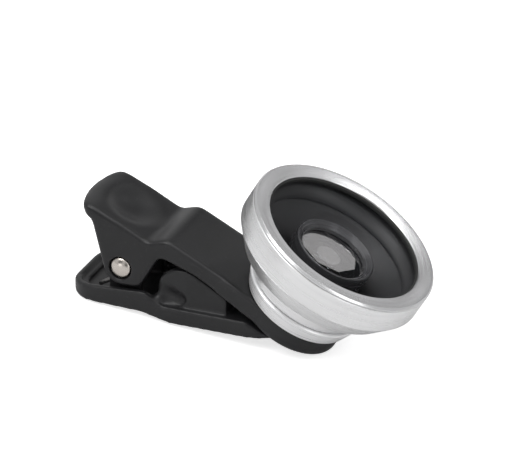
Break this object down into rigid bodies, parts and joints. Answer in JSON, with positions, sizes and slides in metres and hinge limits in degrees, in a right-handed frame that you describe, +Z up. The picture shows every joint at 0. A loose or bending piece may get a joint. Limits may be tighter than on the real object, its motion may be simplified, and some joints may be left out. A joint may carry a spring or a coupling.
{
  "type": "clip-on phone lens",
  "caption": "Spring clip of two moulded arms that grips a phone's edge and holds a close-up lens with a wide lens screwed on top over the camera.",
  "frame": {"origin": "on the table, under the middle of the bounding box", "axes": "+X from the thumb plate towards the lens, +Z up from the table, +Y across the clip towards the pin's riveted tail"},
  "size_m": [0.0666, 0.037, 0.0308],
  "materials": {
    "arm_plastic": "fine satin grain",
    "pad_rubber": "soft matt",
    "pin_steel": "nickel plated",
    "spring_steel": "drawn wire",
    "turned_aluminium": "satin anodised, turned",
    "coated_glass": "polished, coated",
    "cell_black": "matt black anodised"
  },
  "bodies": {
    "lower_arm": {"lower_arm": "arm_plastic", "lower_jaw_pad": "pad_rubber", "torsion_spring": "spring_steel"},
    "upper_arm": {"upper_arm": "arm_plastic", "upper_jaw_pad": "pad_rubber", "pivot_pin": "pin_steel"},
    "macro_glass": {"macro_element": "coated_glass", "macro_retainer": "cell_black"},
    "macro_barrel": {"macro_barrel": "turned_aluminium"},
    "wide_glass": {"front_element": "coated_glass", "concave_element": "coated_glass", "element_spacer": "cell_black", "convex_element": "coated_glass", "rear_retainer": "cell_black"},
    "wide_barrel": {"wide_barrel": "turned_aluminium", "front_bezel": "turned_aluminium", "front_gasket": "pad_rubber", "baffle_cone": "cell_black", "inner_cell": "cell_black"}
  },
  "joints": [
    {"name": "clip_hinge", "type": "hinge", "parent": "lower_arm", "child": "upper_arm", "pos_m": [-0.02298, 0, 0.0086], "axis": [0, -1, 0], "range_deg": [0, 35], "stiffness_Nm_per_rad": 0.16, "springref_deg": -42.97, "deforming": ["torsion_spring"]},
    {"name": "macro_travel", "type": "slide", "parent": "upper_arm", "child": "macro_glass", "axis": [0.4023, 0, 0.9155], "range_m": [0, 0.00225]},
    {"name": "macro_turn", "type": "hinge", "parent": "macro_glass", "child": "macro_barrel", "pos_m": [0.00939, 0, 0.00738], "axis": [0.4023, 0, 0.9155], "range_deg": [0, 1080]},
    {"name": "wide_travel", "type": "slide", "parent": "macro_barrel", "child": "wide_glass", "axis": [0.4023, 0, 0.9155], "range_m": [0, 0.00187]},
    {"name": "wide_turn", "type": "hinge", "parent": "wide_glass", "child": "wide_barrel", "pos_m": [0.00939, 0, 0.00738], "axis": [0.4023, 0, 0.9155], "range_deg": [0, 900]}
  ],
  "couplings": [
    {"joint": "macro_travel", "follows": "macro_turn", "m_per_rad": 0.00011937},
    {"joint": "wide_travel", "follows": "wide_turn", "m_per_rad": 0.00011937}
  ]
}
